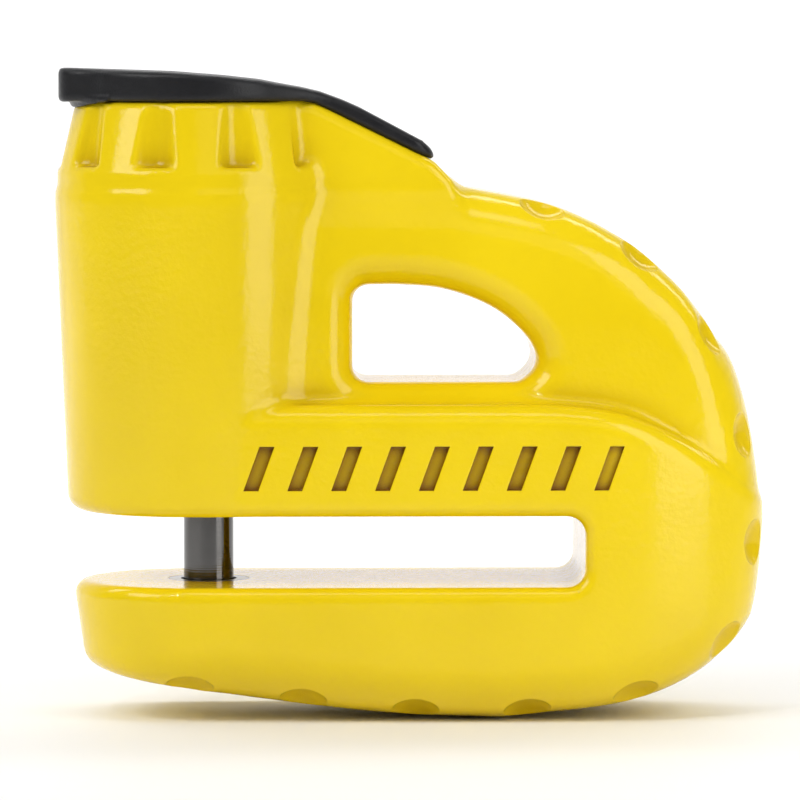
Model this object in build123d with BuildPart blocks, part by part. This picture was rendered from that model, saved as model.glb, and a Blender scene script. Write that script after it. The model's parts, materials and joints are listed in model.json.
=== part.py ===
from build123d import *
import os
from math import atan2, cos, degrees, radians, sin

# Disc brake lock, millimetres, +Z up. The origin is where the locking pin's axis crosses the
# middle of the disc slot. The slot opens towards -X and closes at +X; the lock is symmetric in Y
# but for the engraving, which is on its -Y side.

# ---- driving dimensions -------------------------------------------------------------------------
PIN_D = 5.0  # locking pin
DISC_SLOT = 7.0  # gap that goes over the brake disc
SLOT_END_X = 36.8  # closed end of the slot
PIN_TRAVEL = 10.5  # lift of the pin over the key's whole turn
KEY_TURN = 90  # degrees, clockwise seen from above
PIN_REACH = 3.0  # how far the locked pin stands in the jaw

BODY_HALF_W = 12.5  # bridge, rear and jaw
ARCH_HALF_W = 9.2  # finger arch
SADDLE_HALF_W = 7.6  # slope behind the barrel, under the rubber strap
BARREL_X = -1.05  # axis of the barrel's outside
BARREL_R = 14.2  # widest, just under its head
BARREL_TOP_R = 11.8
HEAD_FOOT_Z = 37.3  # where the coned head starts
BARREL_TOP_Z = 44.2
BRIDGE_TOP_Z = 14.5
ARCH_TOP_Z = 36.0
BODY_BOTTOM_Z = -17.2
REAR_X = 55.3
RIM_ROUND = 6.0  # rounding of the lower outline
ARCH_ROUND = 5.0
MOUTH_ROUND = 2.5  # rims of the arch's hole
SHOULDER_ROUND = 2.0
SLOT_ROUND = 1.2  # along the slot's rims
SLOT_CORNER_R = 1.8  # at its closed end

BORE_R = 9.0  # bore that takes the key cylinder
BORE_FLOOR_Z = 7.0
PLUG_R = 6.45  # turning plug and cam
CAM_BORE_R = 4.4  # the carrier slides in it
RUN = 0.08  # radial clearance of what turns or slides
SEAT = 0.03  # radial clearance of what is seated for good

FOLLOWER_D = 2.4
FOLLOWER_Z = 12.4
FOLLOWER_HALF_L = 7.5
SLOT_PLAY = 0.36  # each side of the follower

DISC_COUNT = 7
DISC_T = 1.2
SPACER_T = 0.3
DISC_R = 4.6
KEYWAY_L = 6.2
KEYWAY_W = 2.6

SLOPE_TOP_X = 10.4  # saddle slope, from the barrel's top down to the strap's end
SLOPE_END_X = 22.35
SLOPE_END_Z = 38.3
STRAP_T = 1.4
STRAP_HALF_W = 7.2
STRAP_CORNER_R = 2.5
HINGE_X = 9.8  # the thin bend of the rubber cover
FLAP_GAP = 0.3  # under the flap
HINGE_GAP = 0.4  # between flap and strap
FLAP_LEFT_X = -14.6

STRAP_LEFT_X = HINGE_X + HINGE_GAP / 2
FLAP_RIGHT_X = HINGE_X - HINGE_GAP / 2
STRAP_TOP = [(STRAP_LEFT_X, 45.4), (13.4, 44.3), (18.4, 41.8), (21.4, 40.2), (SLOPE_END_X, 38.9)]
FLAP_TOP = [(FLAP_LEFT_X, 47.5), (-3.7, 47.1), (5.1, 46.3), (FLAP_RIGHT_X, 45.4)]
FLAP_R = 12.4
PLUG_BOSS_R = 7.1
PLUG_BOSS_T = 0.6
TAB_W = 11.0  # finger tab
TAB_CORNER_R = 2.4

SCALLOP_ANGLES = (33, 73, 113, 153, -33, -73, -113, -153)  # about the barrel, 0 is towards -X
SCALLOP_R = 2.5
SCALLOP_AXIS_R = 14.9  # the cutter stands upright outside the cone
DIMPLE_COUNT = 11
DIMPLE_START = 9.4  # along the rim, from the arch's top
DIMPLE_PITCH = 10.85
DIMPLE_R = 4.0
DIMPLE_DEPTH = 0.65
DIMPLE_TILT = 24  # from the rim's outward direction towards the side
STROKE_COUNT = 9  # engraved row of plain slanted strokes
STROKE_LEFT_X = 5.0
STROKE_PITCH = 4.3
STROKE_W = 1.3
STROKE_H = 4.2
STROKE_LEAN = 20
STROKE_MID_Z = 8.3
STROKE_DEPTH = 0.5

# ---- worked out ---------------------------------------------------------------------------------
PIN_R = PIN_D / 2
SLOT_TOP_Z = DISC_SLOT / 2
PIN_TIP_Z = -SLOT_TOP_Z - PIN_REACH
SLOPE_ANGLE = degrees(atan2(BARREL_TOP_Z - SLOPE_END_Z, SLOPE_END_X - SLOPE_TOP_X))
CAM_FOOT_Z = BORE_FLOOR_Z + 0.35
CAM_TOP_Z = 28.0
HUB_TOP_Z = CAM_TOP_Z + 2.0
DISC_PITCH = DISC_T + SPACER_T
DISC_FOOT_Z = HUB_TOP_Z + 0.1
SLEEVE_TOP_Z = DISC_FOOT_Z + DISC_COUNT * DISC_PITCH
FACE_T = 1.5
FACE_Z = SLEEVE_TOP_Z + FACE_T
RING_T = 0.7
RING_BITE = 0.6  # how far the snap ring stands in its groove
RING_Z = FACE_Z + 0.05
RING_W = 1.3
RING_GAP = 4.4  # between its ends
RING_EYE_X = 3.4
RING_EYE_Y = -BORE_R + 2.0
RING_EYE_R = 1.3
RING_EYE_HOLE_R = 0.6
O_RING_D = 1.0
O_RING_Z = SLEEVE_TOP_Z
BUSHING_R = 4.0
CUP_DEPTH = 5.0
CUP_PLAY = 0.3
CUP_FLOOR_T = 1.0
CROSS_PIN_R = 1.5
CROSS_PIN_Z = 11.2
CROSS_PIN_OUT_X = -13.7
CAM_PIN_R = 0.75
CAM_PIN_Z = (CAM_TOP_Z + HUB_TOP_Z) / 2
CAM_PIN_OUT = 7.6  # its long end sweeps the housing's window
SIDEBAR_R = 0.8
CARRIER_R = CAM_BORE_R - RUN
CARRIER_FOOT_Z = CAM_FOOT_Z + 0.1
CARRIER_TOP_Z = CARRIER_FOOT_Z + 8.0
CARRIER_PIN_Z = CARRIER_FOOT_Z + 1.6
PIN_TOP_Z = CARRIER_FOOT_Z + 3.4
SCREW_PLACES = (4.0, 10.0)  # along the slope
SCREW_R = 0.9
SCREW_HEAD_R = 1.8
SCREW_L = 5.0
SCREW_DRIVE_R = 0.5
SLOT_HALF = FOLLOWER_D / 2 + SLOT_PLAY
CUTTER_L = 60.0  # reach of a cutter that runs right out of the body
STANDING = (Align.CENTER, Align.CENTER, Align.MIN)
BARREL_AXIS = Axis((BARREL_X, 0, 0), (0, 0, 1))
SLOPE = Plane(
    (SLOPE_TOP_X, 0, BARREL_TOP_Z),
    x_dir=(cos(radians(SLOPE_ANGLE)), 0, -sin(radians(SLOPE_ANGLE))),
    z_dir=(sin(radians(SLOPE_ANGLE)), 0, cos(radians(SLOPE_ANGLE))),
)

os.makedirs("parts", exist_ok=True)


def save(built, name):
    built.part.label = name
    export_step(built.part, f"parts/{name}.step")


def around(angle, radius):
    """A point on a circle about the barrel's axis; 0 degrees is towards -X."""
    return (BARREL_X - radius * cos(radians(angle)), radius * sin(radians(angle)))


# ---- body casting -------------------------------------------------------------------------------
# Outline of the rear, from the arch's top round to the jaw's lowest point, in X and Z.
REAR = [
    (24.0, ARCH_TOP_Z),
    (35.2, 33.5),
    (43.4, 28.8),
    (51.2, 19.0),
    (54.9, 7.0),
    (REAR_X, 0.5),
    (52.6, -9.2),
    (43.5, -15.2),
    (29.0, BODY_BOTTOM_Z),
]
JAW_HEEL = (-10.0, -12.4)  # where the jaw's underside turns up to its nose
CHIN = (-12.3, -11.5)
NOSE = (-13.0, -9.5)
BLOCK_LEFT_X = BARREL_X - BODY_HALF_W - 1
SHOULDER_BEND = (30.0, BRIDGE_TOP_Z)  # from here the bridge's top falls towards the rear
rear_line = Plane.XZ * Spline(*REAR, tangents=[(1, -0.05), (-1, 0)])
jaw_line = Plane.XZ * Spline(REAR[-1], (10.0, -15.9), JAW_HEEL, tangents=[(-1, 0), (-1, 0.24)])
REAR_ELLIPSE = REAR_X + 1.3 - SLOT_END_X  # the rear seen from above
REAR_DIMPLE = (2.0, 7.5)  # rise and offset of the cutters where the rear narrows


def dimple_centres():
    """Centres of the spheres that cut the dimples, evenly spaced along the rim, on both sides."""
    rim = Wire([rear_line, jaw_line])
    centres = []
    for number in range(DIMPLE_COUNT):
        place = DIMPLE_START + number * DIMPLE_PITCH
        point = rim.position_at(place, position_mode=PositionMode.LENGTH)
        along = rim.tangent_at(place, position_mode=PositionMode.LENGTH)
        on_arch = point.Z > 8
        half_width = ARCH_HALF_W if on_arch else BODY_HALF_W
        rounding = ARCH_ROUND if on_arch else RIM_ROUND
        reach = rounding + DIMPLE_R - DIMPLE_DEPTH
        rise = reach * cos(radians(DIMPLE_TILT)) - rounding
        across = half_width - rounding + reach * sin(radians(DIMPLE_TILT))
        if not on_arch and point.X > REAR_X - 5:
            rise, across = REAR_DIMPLE
        out = Vector(-along.Z, 0, along.X) * rise
        centres += [point + out + Vector(0, side * across, 0) for side in (-1, 1)]
    return centres


# Bridge, rear and jaw: full width, the whole lower outline rounded.
with BuildPart() as lower_frame:
    with BuildSketch(Plane.XZ):
        with BuildLine():
            Spline(*REAR, tangents=[(1, -0.05), (-1, 0)])
            Spline(REAR[-1], (10.0, -15.9), JAW_HEEL, tangents=[(-1, 0), (-1, 0.24)])
            Polyline(JAW_HEEL, CHIN, NOSE)
            Polyline(NOSE, (BLOCK_LEFT_X, -SLOT_TOP_Z), (BLOCK_LEFT_X, ARCH_TOP_Z), REAR[0])
        make_face()
    extrude(amount=BODY_HALF_W, both=True)
    outline = lower_frame.edges().filter_by(Plane.XZ).filter_by(lambda e: e.center().X > 0)
    fillet(outline.filter_by(lambda e: e.center().Z < -10 or e.center().X > 30), RIM_ROUND)
    # everything above the bridge and its sloping rear shoulder
    with BuildSketch(Plane.XZ):
        with BuildLine():
            Polyline((60.0, 3.0), (60.0, 60.0), (-20.0, 60.0), (-20.0, BRIDGE_TOP_Z), SHOULDER_BEND)
            Spline(SHOULDER_BEND, (42.0, 13.2), (60.0, 3.0), tangents=[(1, 0), (1, -0.75)])
        make_face()
    extrude(amount=BODY_HALF_W + 1, both=True, mode=Mode.SUBTRACT)
    # seen from above: round nose about the barrel, rounded rear
    with BuildSketch(Plane.XY.offset(BODY_BOTTOM_Z - 5)):
        with Locations((BARREL_X, 0)):
            Circle(BODY_HALF_W)
        with Locations((SLOT_END_X / 2 + BARREL_X / 2, 0)):
            Rectangle(SLOT_END_X - BARREL_X, 2 * BODY_HALF_W)
        with Locations((SLOT_END_X, 0)):
            Ellipse(REAR_ELLIPSE, BODY_HALF_W)
    extrude(amount=BRIDGE_TOP_Z - BODY_BOTTOM_Z + 10, mode=Mode.INTERSECT)
    shoulder = lower_frame.edges().filter_by(
        lambda e: abs(e.center().Y) > 9 and e.center().Z > 10 and 0 < e.center().X < 50
    )
    fillet(shoulder, SHOULDER_ROUND)
    # disc slot
    with BuildSketch(Plane.XZ):
        with Locations((SLOT_END_X - CUTTER_L / 2, 0)):
            RectangleRounded(CUTTER_L, DISC_SLOT, SLOT_CORNER_R)
    extrude(amount=BODY_HALF_W + 1, both=True, mode=Mode.SUBTRACT)
    rims = lower_frame.edges().filter_by(lambda e: abs(abs(e.center().Z) - SLOT_TOP_Z) < 0.01)
    fillet(rims.filter_by(lambda e: e.center().X < 30), SLOT_ROUND)

# Finger arch, with its D-shaped hole.
with BuildPart() as arch:
    with BuildSketch(Plane.XZ):
        with BuildLine():
            Spline(*REAR[:5], tangents=[(1, -0.05), (0.35, -1)])
            Polyline(REAR[4], (50.0, -3.0), (42.0, 8.0), (0.0, 8.0), (0.0, ARCH_TOP_Z), REAR[0])
        make_face()
    extrude(amount=ARCH_HALF_W, both=True)
    outer = arch.edges().filter_by(Plane.XZ)
    fillet(outer.filter_by(lambda e: e.center().Z > 30 or e.center().X > 51), ARCH_ROUND)
    with BuildSketch(Plane.XZ):
        with BuildLine():
            FilletPolyline((30.6, 16.6), (14.3, 16.6), (14.3, 26.1), (18.5, 26.1), radius=1.2)
            Spline(
                (18.5, 26.1), (27.0, 24.8), (32.3, 19.8), (30.6, 16.6), tangents=[(1, 0), (-1, 0)]
            )
        make_face()
    extrude(amount=ARCH_HALF_W + 1, both=True, mode=Mode.SUBTRACT)
    mouth = arch.edges().filter_by(
        lambda e: abs(abs(e.center().Y) - ARCH_HALF_W) < 0.01 and 14 < e.center().X < 33
    )
    fillet(mouth.filter_by(lambda e: 16 < e.center().Z < 27), MOUTH_ROUND)

with BuildPart() as body_casting:
    # key barrel: tapered, with a coned head
    foot_z = SLOT_TOP_Z + SLOT_ROUND
    with BuildSketch(Plane.XZ):
        with BuildLine():
            Polyline(
                (BARREL_X, foot_z),
                (BARREL_X - BODY_HALF_W, foot_z),
                (BARREL_X - BARREL_R, 34.3),
                (BARREL_X - BARREL_R, 36.2),
                (BARREL_X - BARREL_R + 0.3, HEAD_FOOT_Z),
                (BARREL_X - BARREL_TOP_R - 0.2, 43.6),
                (BARREL_X - BARREL_TOP_R + 0.6, BARREL_TOP_Z),
                (BARREL_X, BARREL_TOP_Z),
                close=True,
            )
        make_face()
    revolve(axis=BARREL_AXIS)
    add(lower_frame.part)
    add(arch.part)
    # saddle under the rubber strap
    with BuildSketch(Plane.XZ):
        with BuildLine():
            FilletPolyline(
                (0, BARREL_TOP_Z),
                (SLOPE_TOP_X, BARREL_TOP_Z),
                (SLOPE_END_X, SLOPE_END_Z),
                (24.6, 36.0),
                (26.0, 33.0),
                (24.0, 30.0),
                (0, 30.0),
                radius=1.2,
            )
            Line((0, 30.0), (0, BARREL_TOP_Z))
        make_face()
    extrude(amount=SADDLE_HALF_W, both=True)
    # scallops round the head, each fading out towards the top
    with BuildSketch(Plane.XY.offset(HEAD_FOOT_Z + 0.5)):
        with Locations(*[around(angle, SCALLOP_AXIS_R) for angle in SCALLOP_ANGLES]):
            Circle(SCALLOP_R)
    extrude(amount=10, mode=Mode.SUBTRACT)
    # shallow round dimples along both shoulders of the rim
    with Locations(*dimple_centres()):
        Sphere(DIMPLE_R, mode=Mode.SUBTRACT)
    with BuildSketch(Plane.XZ.offset(BODY_HALF_W)):
        for number in range(STROKE_COUNT):
            with Locations((STROKE_LEFT_X + number * STROKE_PITCH, STROKE_MID_Z)):
                Rectangle(STROKE_W, STROKE_H, rotation=-STROKE_LEAN)
    extrude(amount=-STROKE_DEPTH, mode=Mode.SUBTRACT)
    # bore for the key cylinder, and a groove for its snap ring
    with Locations((0, 0, BARREL_TOP_Z)):
        Hole(BORE_R, depth=BARREL_TOP_Z - BORE_FLOOR_Z)
    with BuildSketch(Plane.XY.offset(RING_Z - SEAT)):
        Circle(BORE_R + RING_BITE + SEAT)
    extrude(amount=RING_T + 2 * SEAT, mode=Mode.SUBTRACT)
    # seats of the pin's two bushings
    with Locations((0, 0, BORE_FLOOR_Z)):
        Hole(BUSHING_R, depth=BORE_FLOOR_Z - SLOT_TOP_Z + 0.5)
    with Locations((0, 0, -SLOT_TOP_Z)):
        Hole(BUSHING_R, depth=CUP_DEPTH)
    # cross hole of the liner's retaining pin, through the front of the barrel
    with Locations(Plane((CROSS_PIN_OUT_X - 2, 0, CROSS_PIN_Z), z_dir=(-1, 0, 0))):
        Hole(CROSS_PIN_R, depth=-CROSS_PIN_OUT_X + 2 - PLUG_R)
    # holes of the strap's screws
    with Locations(*[SLOPE * Location((along, 0, 0)) for along in SCREW_PLACES]):
        Hole(SCREW_R, depth=SCREW_L)
save(body_casting, "body_casting")

# ---- fixed pieces in the body -------------------------------------------------------------------
with BuildPart() as pin_guide_bushing:
    with BuildSketch(Plane.XY.offset(SLOT_TOP_Z)):
        Circle(BUSHING_R - SEAT)
        Circle(PIN_R + RUN, mode=Mode.SUBTRACT)
    extrude(amount=BORE_FLOOR_Z - SLOT_TOP_Z)
save(pin_guide_bushing, "pin_guide_bushing")

with BuildPart() as jaw_bushing:
    with BuildSketch(Plane.XY.offset(-SLOT_TOP_Z - CUP_DEPTH)):
        Circle(BUSHING_R - SEAT)
    extrude(amount=CUP_DEPTH)
    with Locations((0, 0, -SLOT_TOP_Z)):
        Hole(PIN_R + CUP_PLAY, depth=CUP_DEPTH - CUP_FLOOR_T)
save(jaw_bushing, "jaw_bushing")

# Two upright slots hold the follower's ends, so that it rises without turning.
with BuildPart() as guide_liner:
    with BuildSketch(Plane.XY.offset(BORE_FLOOR_Z)):
        Circle(BORE_R - SEAT)
        Circle(PLUG_R + RUN, mode=Mode.SUBTRACT)
    extrude(amount=CAM_TOP_Z - BORE_FLOOR_Z)
    with BuildSketch(Plane.XZ):
        with Locations((0, FOLLOWER_Z + PIN_TRAVEL / 2)):
            SlotCenterToCenter(PIN_TRAVEL, 2 * SLOT_HALF, rotation=90)
    extrude(amount=BORE_R, both=True, mode=Mode.SUBTRACT)
    with Locations(Plane((-BORE_R, 0, CROSS_PIN_Z), z_dir=(-1, 0, 0))):
        Hole(CROSS_PIN_R, depth=BORE_R - PLUG_R)
save(guide_liner, "guide_liner")

with BuildPart() as liner_retaining_pin:
    with BuildSketch(Plane((CROSS_PIN_OUT_X, 0, CROSS_PIN_Z), z_dir=(1, 0, 0))):
        Circle(CROSS_PIN_R - SEAT)
    extrude(amount=-CROSS_PIN_OUT_X - PLUG_R - 0.5)
    chamfer(liner_retaining_pin.faces().sort_by(Axis.X)[0].edges(), 0.25)
save(liner_retaining_pin, "liner_retaining_pin")

with BuildPart() as cylinder_housing:
    with BuildSketch(Plane.XY.offset(CAM_TOP_Z)):
        Circle(BORE_R - SEAT)
        Circle(PLUG_R + RUN, mode=Mode.SUBTRACT)
    extrude(amount=FACE_Z - CAM_TOP_Z)
    # groove that the sidebar stands in while the key is out
    with BuildSketch(Plane.XY.offset(DISC_FOOT_Z)):
        with Locations((0, PLUG_R)):
            Circle(SIDEBAR_R)
    extrude(amount=DISC_COUNT * DISC_PITCH, mode=Mode.SUBTRACT)
    # window that the long end of the cam's cross pin sweeps; its two ends stop the turn
    with BuildSketch(Plane.XY.offset(CAM_TOP_Z)):
        with BuildLine():
            reach = CAM_PIN_OUT + 0.3
            spare = degrees((CAM_PIN_R + 0.35) / PLUG_R)
            outside = CenterArc((0, 0), reach, -KEY_TURN - spare, KEY_TURN + 2 * spare)
            Line(outside @ 1, (0, 0))
            Line((0, 0), outside @ 0)
        make_face()
    extrude(amount=HUB_TOP_Z - CAM_TOP_Z, mode=Mode.SUBTRACT)
    # groove of the water seal
    with BuildSketch(Plane.XZ):
        with Locations((BORE_R, O_RING_Z)):
            Rectangle(2 * O_RING_D + 0.1, O_RING_D + 0.1)
    revolve(axis=Axis.Z, mode=Mode.SUBTRACT)
save(cylinder_housing, "cylinder_housing")

with BuildPart() as housing_o_ring:
    with BuildSketch(Plane.XZ):
        with Locations((BORE_R - O_RING_D / 2 - SEAT, O_RING_Z)):
            Circle(O_RING_D / 2 - SEAT)
    revolve(axis=Axis.Z)
save(housing_o_ring, "housing_o_ring")

with BuildPart() as retaining_ring:
    with BuildSketch(Plane.XY.offset(RING_Z)):
        Circle(BORE_R + RING_BITE)
        Circle(BORE_R - RING_W, mode=Mode.SUBTRACT)
        with Locations((0, -BORE_R)):
            Rectangle(RING_GAP, 5.0, mode=Mode.SUBTRACT)
        # eyes for the pliers
        with Locations((-RING_EYE_X, RING_EYE_Y), (RING_EYE_X, RING_EYE_Y)):
            Circle(RING_EYE_R)
            Circle(RING_EYE_HOLE_R, mode=Mode.SUBTRACT)
    extrude(amount=RING_T)
save(retaining_ring, "retaining_ring")

# ---- turning plug -------------------------------------------------------------------------------
CAM_PIN_PLANE = Plane((-PLUG_R - 1, 0, CAM_PIN_Z), z_dir=(1, 0, 0))

with BuildPart() as plug_sleeve:
    with BuildSketch(Plane.XY.offset(CAM_TOP_Z)):
        Circle(PLUG_R)
        Circle(DISC_R + RUN, mode=Mode.SUBTRACT)
    extrude(amount=SLEEVE_TOP_Z - CAM_TOP_Z)
    with BuildSketch(Plane.XY.offset(DISC_FOOT_Z)):
        with Locations((0, DISC_R + 1)):
            Rectangle(2 * SIDEBAR_R + 0.1, 3)
    extrude(amount=SLEEVE_TOP_Z - DISC_FOOT_Z, mode=Mode.SUBTRACT)
    with BuildSketch(CAM_PIN_PLANE):
        Circle(CAM_PIN_R)
    extrude(amount=2 * PLUG_R + 2, mode=Mode.SUBTRACT)
save(plug_sleeve, "plug_sleeve")

with BuildPart() as anti_drill_plate:
    with BuildSketch(Plane.XY.offset(SLEEVE_TOP_Z)):
        Circle(PLUG_R)
        SlotOverall(KEYWAY_L, KEYWAY_W, mode=Mode.SUBTRACT)
    extrude(amount=FACE_T)
    chamfer(anti_drill_plate.faces().sort_by(Axis.Z)[-1].edges(), 0.3)
save(anti_drill_plate, "anti_drill_plate")

# The gate that lets the sidebar in is cut at its own angle in each disc.
for number in range(DISC_COUNT):
    gate_angle = 90 + 18 * ((number * 3) % DISC_COUNT)
    with BuildPart() as disc:
        with BuildSketch(Plane.XY.offset(DISC_FOOT_Z + number * DISC_PITCH)):
            Circle(DISC_R)
            SlotOverall(KEYWAY_L, KEYWAY_W, mode=Mode.SUBTRACT)
            with PolarLocations(DISC_R, 1, start_angle=gate_angle):
                Circle(SIDEBAR_R, mode=Mode.SUBTRACT)
        extrude(amount=DISC_T)
    save(disc, f"detainer_disc_{number + 1}")

with BuildPart() as disc_spacers:
    for number in range(DISC_COUNT):
        with BuildSketch(Plane.XY.offset(DISC_FOOT_Z + number * DISC_PITCH + DISC_T)):
            Circle(DISC_R - 0.1)
            Circle(KEYWAY_L / 2 + 0.2, mode=Mode.SUBTRACT)
        extrude(amount=SPACER_T)
save(disc_spacers, "disc_spacers")

with BuildPart() as sidebar:
    with BuildSketch(Plane.XY.offset(DISC_FOOT_Z)):
        with Locations((0, DISC_R + 0.1 + SIDEBAR_R)):
            Circle(SIDEBAR_R)
    extrude(amount=DISC_COUNT * DISC_PITCH)
save(sidebar, "sidebar")

# Tube cam. Each helical slot climbs the pin's travel over the key's turn.
CAM_SLOT_STARTS = (90, 270)
CAM_MID_R = (CAM_BORE_R + PLUG_R) / 2
CLIMB_LEAN = atan2(CAM_MID_R * radians(KEY_TURN), PIN_TRAVEL)  # of the slot, from upright


def helical_cutter(start):
    """Cutter of one helical slot: a level section that turns about the axis as it rises."""
    with BuildSketch(Plane.XY.offset(FOLLOWER_Z)) as section:
        with PolarLocations(CAM_MID_R, 1, start_angle=start):
            Rectangle(PLUG_R - CAM_BORE_R + 1.2, 2 * SLOT_HALF / cos(CLIMB_LEAN))
    foot, rise = (0, 0, FOLLOWER_Z), (0, 0, PIN_TRAVEL)
    return Solid.extrude_linear_with_rotation(section.sketch.face(), foot, rise, KEY_TURN)


helical_cutters = [helical_cutter(start) for start in CAM_SLOT_STARTS]
with BuildPart() as drive_cam:
    with BuildSketch(Plane.XY.offset(CAM_FOOT_Z)):
        Circle(PLUG_R)
    extrude(amount=CAM_TOP_Z - CAM_FOOT_Z)
    with BuildSketch(Plane.XY.offset(CAM_TOP_Z)):
        Circle(DISC_R)
    extrude(amount=HUB_TOP_Z - CAM_TOP_Z)
    with BuildSketch(Plane.XY.offset(CAM_FOOT_Z)):
        Circle(CAM_BORE_R)
    extrude(amount=CARRIER_TOP_Z + PIN_TRAVEL + 0.4 - CAM_FOOT_Z, mode=Mode.SUBTRACT)
    add(helical_cutters, mode=Mode.SUBTRACT)
    # round ends of the helical slots
    for start in CAM_SLOT_STARTS:
        for turned, height in ((0, 0), (KEY_TURN, PIN_TRAVEL)):
            angle = radians(start + turned)
            outward = (cos(angle), sin(angle), 0)
            with BuildSketch(Plane((0, 0, FOLLOWER_Z + height), x_dir=(0, 0, 1), z_dir=outward)):
                Circle(SLOT_HALF)
            extrude(amount=PLUG_R + 1, mode=Mode.SUBTRACT)
    with BuildSketch(CAM_PIN_PLANE):
        Circle(CAM_PIN_R)
    extrude(amount=2 * PLUG_R + 2, mode=Mode.SUBTRACT)
save(drive_cam, "drive_cam")

with BuildPart() as cam_cross_pin:
    with BuildSketch(Plane((-PLUG_R + 0.3, 0, CAM_PIN_Z), z_dir=(1, 0, 0))):
        Circle(CAM_PIN_R)
    extrude(amount=PLUG_R - 0.3 + CAM_PIN_OUT)
save(cam_cross_pin, "cam_cross_pin")

# ---- sliding pin --------------------------------------------------------------------------------
with BuildPart() as locking_pin:
    with BuildSketch(Plane.XY.offset(PIN_TIP_Z)):
        Circle(PIN_R)
    extrude(amount=PIN_TOP_Z - PIN_TIP_Z)
    chamfer(locking_pin.faces().sort_by(Axis.Z)[0].edges(), 0.5)
    with BuildSketch(Plane((0, -PIN_D, CARRIER_PIN_Z), x_dir=(1, 0, 0), z_dir=(0, 1, 0))):
        Circle(CAM_PIN_R)
    extrude(amount=2 * PIN_D, mode=Mode.SUBTRACT)
save(locking_pin, "locking_pin")

with BuildPart() as pin_carrier:
    with BuildSketch(Plane.XY.offset(CARRIER_FOOT_Z)):
        Circle(CARRIER_R)
    extrude(amount=CARRIER_TOP_Z - CARRIER_FOOT_Z)
    with BuildSketch(Plane.XY.offset(CARRIER_FOOT_Z)):
        Circle(PIN_R)
    extrude(amount=PIN_TOP_Z - CARRIER_FOOT_Z, mode=Mode.SUBTRACT)
    for height, radius in ((CARRIER_PIN_Z, CAM_PIN_R), (FOLLOWER_Z, FOLLOWER_D / 2)):
        with BuildSketch(Plane((0, -BORE_R, height), x_dir=(1, 0, 0), z_dir=(0, 1, 0))):
            Circle(radius)
        extrude(amount=2 * BORE_R, mode=Mode.SUBTRACT)
save(pin_carrier, "pin_carrier")

with BuildPart() as carrier_cross_pin:
    with BuildSketch(Plane((0, -CARRIER_R + 0.2, CARRIER_PIN_Z), z_dir=(0, 1, 0))):
        Circle(CAM_PIN_R)
    extrude(amount=2 * CARRIER_R - 0.4)
save(carrier_cross_pin, "carrier_cross_pin")

with BuildPart() as follower_pin:
    with BuildSketch(Plane((0, -FOLLOWER_HALF_L, FOLLOWER_Z), z_dir=(0, 1, 0))):
        Circle(FOLLOWER_D / 2)
    extrude(amount=2 * FOLLOWER_HALF_L)
    chamfer(follower_pin.edges().filter_by(GeomType.CIRCLE), 0.2)
save(follower_pin, "follower_pin")

# ---- rubber cover -------------------------------------------------------------------------------
# One moulding with a thin bend at the hinge; the bend itself is left out between its two halves.
with BuildPart() as dust_strap:
    with BuildSketch(Plane.XZ):
        with BuildLine():
            Spline(*STRAP_TOP)
            Polyline(
                STRAP_TOP[-1],
                (SLOPE_END_X, SLOPE_END_Z),
                (SLOPE_TOP_X, BARREL_TOP_Z),
                (STRAP_TOP[0][0], BARREL_TOP_Z),
                STRAP_TOP[0],
            )
        make_face()
    extrude(amount=STRAP_HALF_W, both=True)
    # rounded corners at its lower end
    with BuildSketch(Plane.XY.offset(SLOPE_END_Z - 1)):
        with Locations((SLOPE_END_X - 20, 0)):
            RectangleRounded(40, 2 * STRAP_HALF_W, STRAP_CORNER_R)
    extrude(amount=10, mode=Mode.INTERSECT)
    with Locations(*[SLOPE * Location((along, 0, STRAP_T - 0.1)) for along in SCREW_PLACES]):
        CounterSinkHole(SCREW_R, SCREW_HEAD_R, depth=STRAP_T + 1)
save(dust_strap, "dust_strap")

with BuildPart() as strap_screws:
    for along in SCREW_PLACES:
        with Locations(SLOPE * Location((along, 0, -SCREW_L + 0.2))):
            Cylinder(SCREW_R - 0.02, SCREW_L - 0.2, align=STANDING)
        head_t = SCREW_HEAD_R - SCREW_R
        with Locations(SLOPE * Location((along, 0, STRAP_T - 0.1 - head_t))):
            Cone(SCREW_R - 0.05, SCREW_HEAD_R - 0.05, head_t, align=STANDING)
        with Locations(SLOPE * Location((along, 0, -0.1))):
            Cylinder(SCREW_R - 0.05, STRAP_T - head_t, align=STANDING)
        with Locations(SLOPE * Location((along, 0, STRAP_T - 0.1))):
            Cylinder(SCREW_DRIVE_R, 1.0, mode=Mode.SUBTRACT)
save(strap_screws, "strap_screws")

with BuildPart() as dust_flap:
    flap_foot_z = BARREL_TOP_Z + FLAP_GAP
    with BuildSketch(Plane.XY.offset(flap_foot_z)):
        with Locations((BARREL_X, 0)):
            Circle(FLAP_R)
        with Locations((FLAP_LEFT_X + TAB_W / 2, 0)):
            RectangleRounded(TAB_W, TAB_W, TAB_CORNER_R)
        with Locations((FLAP_RIGHT_X + 10, 0)):
            Rectangle(20, 2 * FLAP_R, mode=Mode.SUBTRACT)
    extrude(amount=5)
    with BuildSketch(Plane.XZ):
        with BuildLine():
            Polyline(*FLAP_TOP, (FLAP_RIGHT_X + 2, 52), (FLAP_LEFT_X - 2, 52), FLAP_TOP[0])
        make_face()
    extrude(amount=BODY_HALF_W + 2, both=True, mode=Mode.SUBTRACT)
    # boss that closes the bore
    with BuildSketch(Plane.XY.offset(flap_foot_z)):
        Circle(PLUG_BOSS_R)
    extrude(amount=-PLUG_BOSS_T)
save(dust_flap, "dust_flap")
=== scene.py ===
import json
import math

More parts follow.
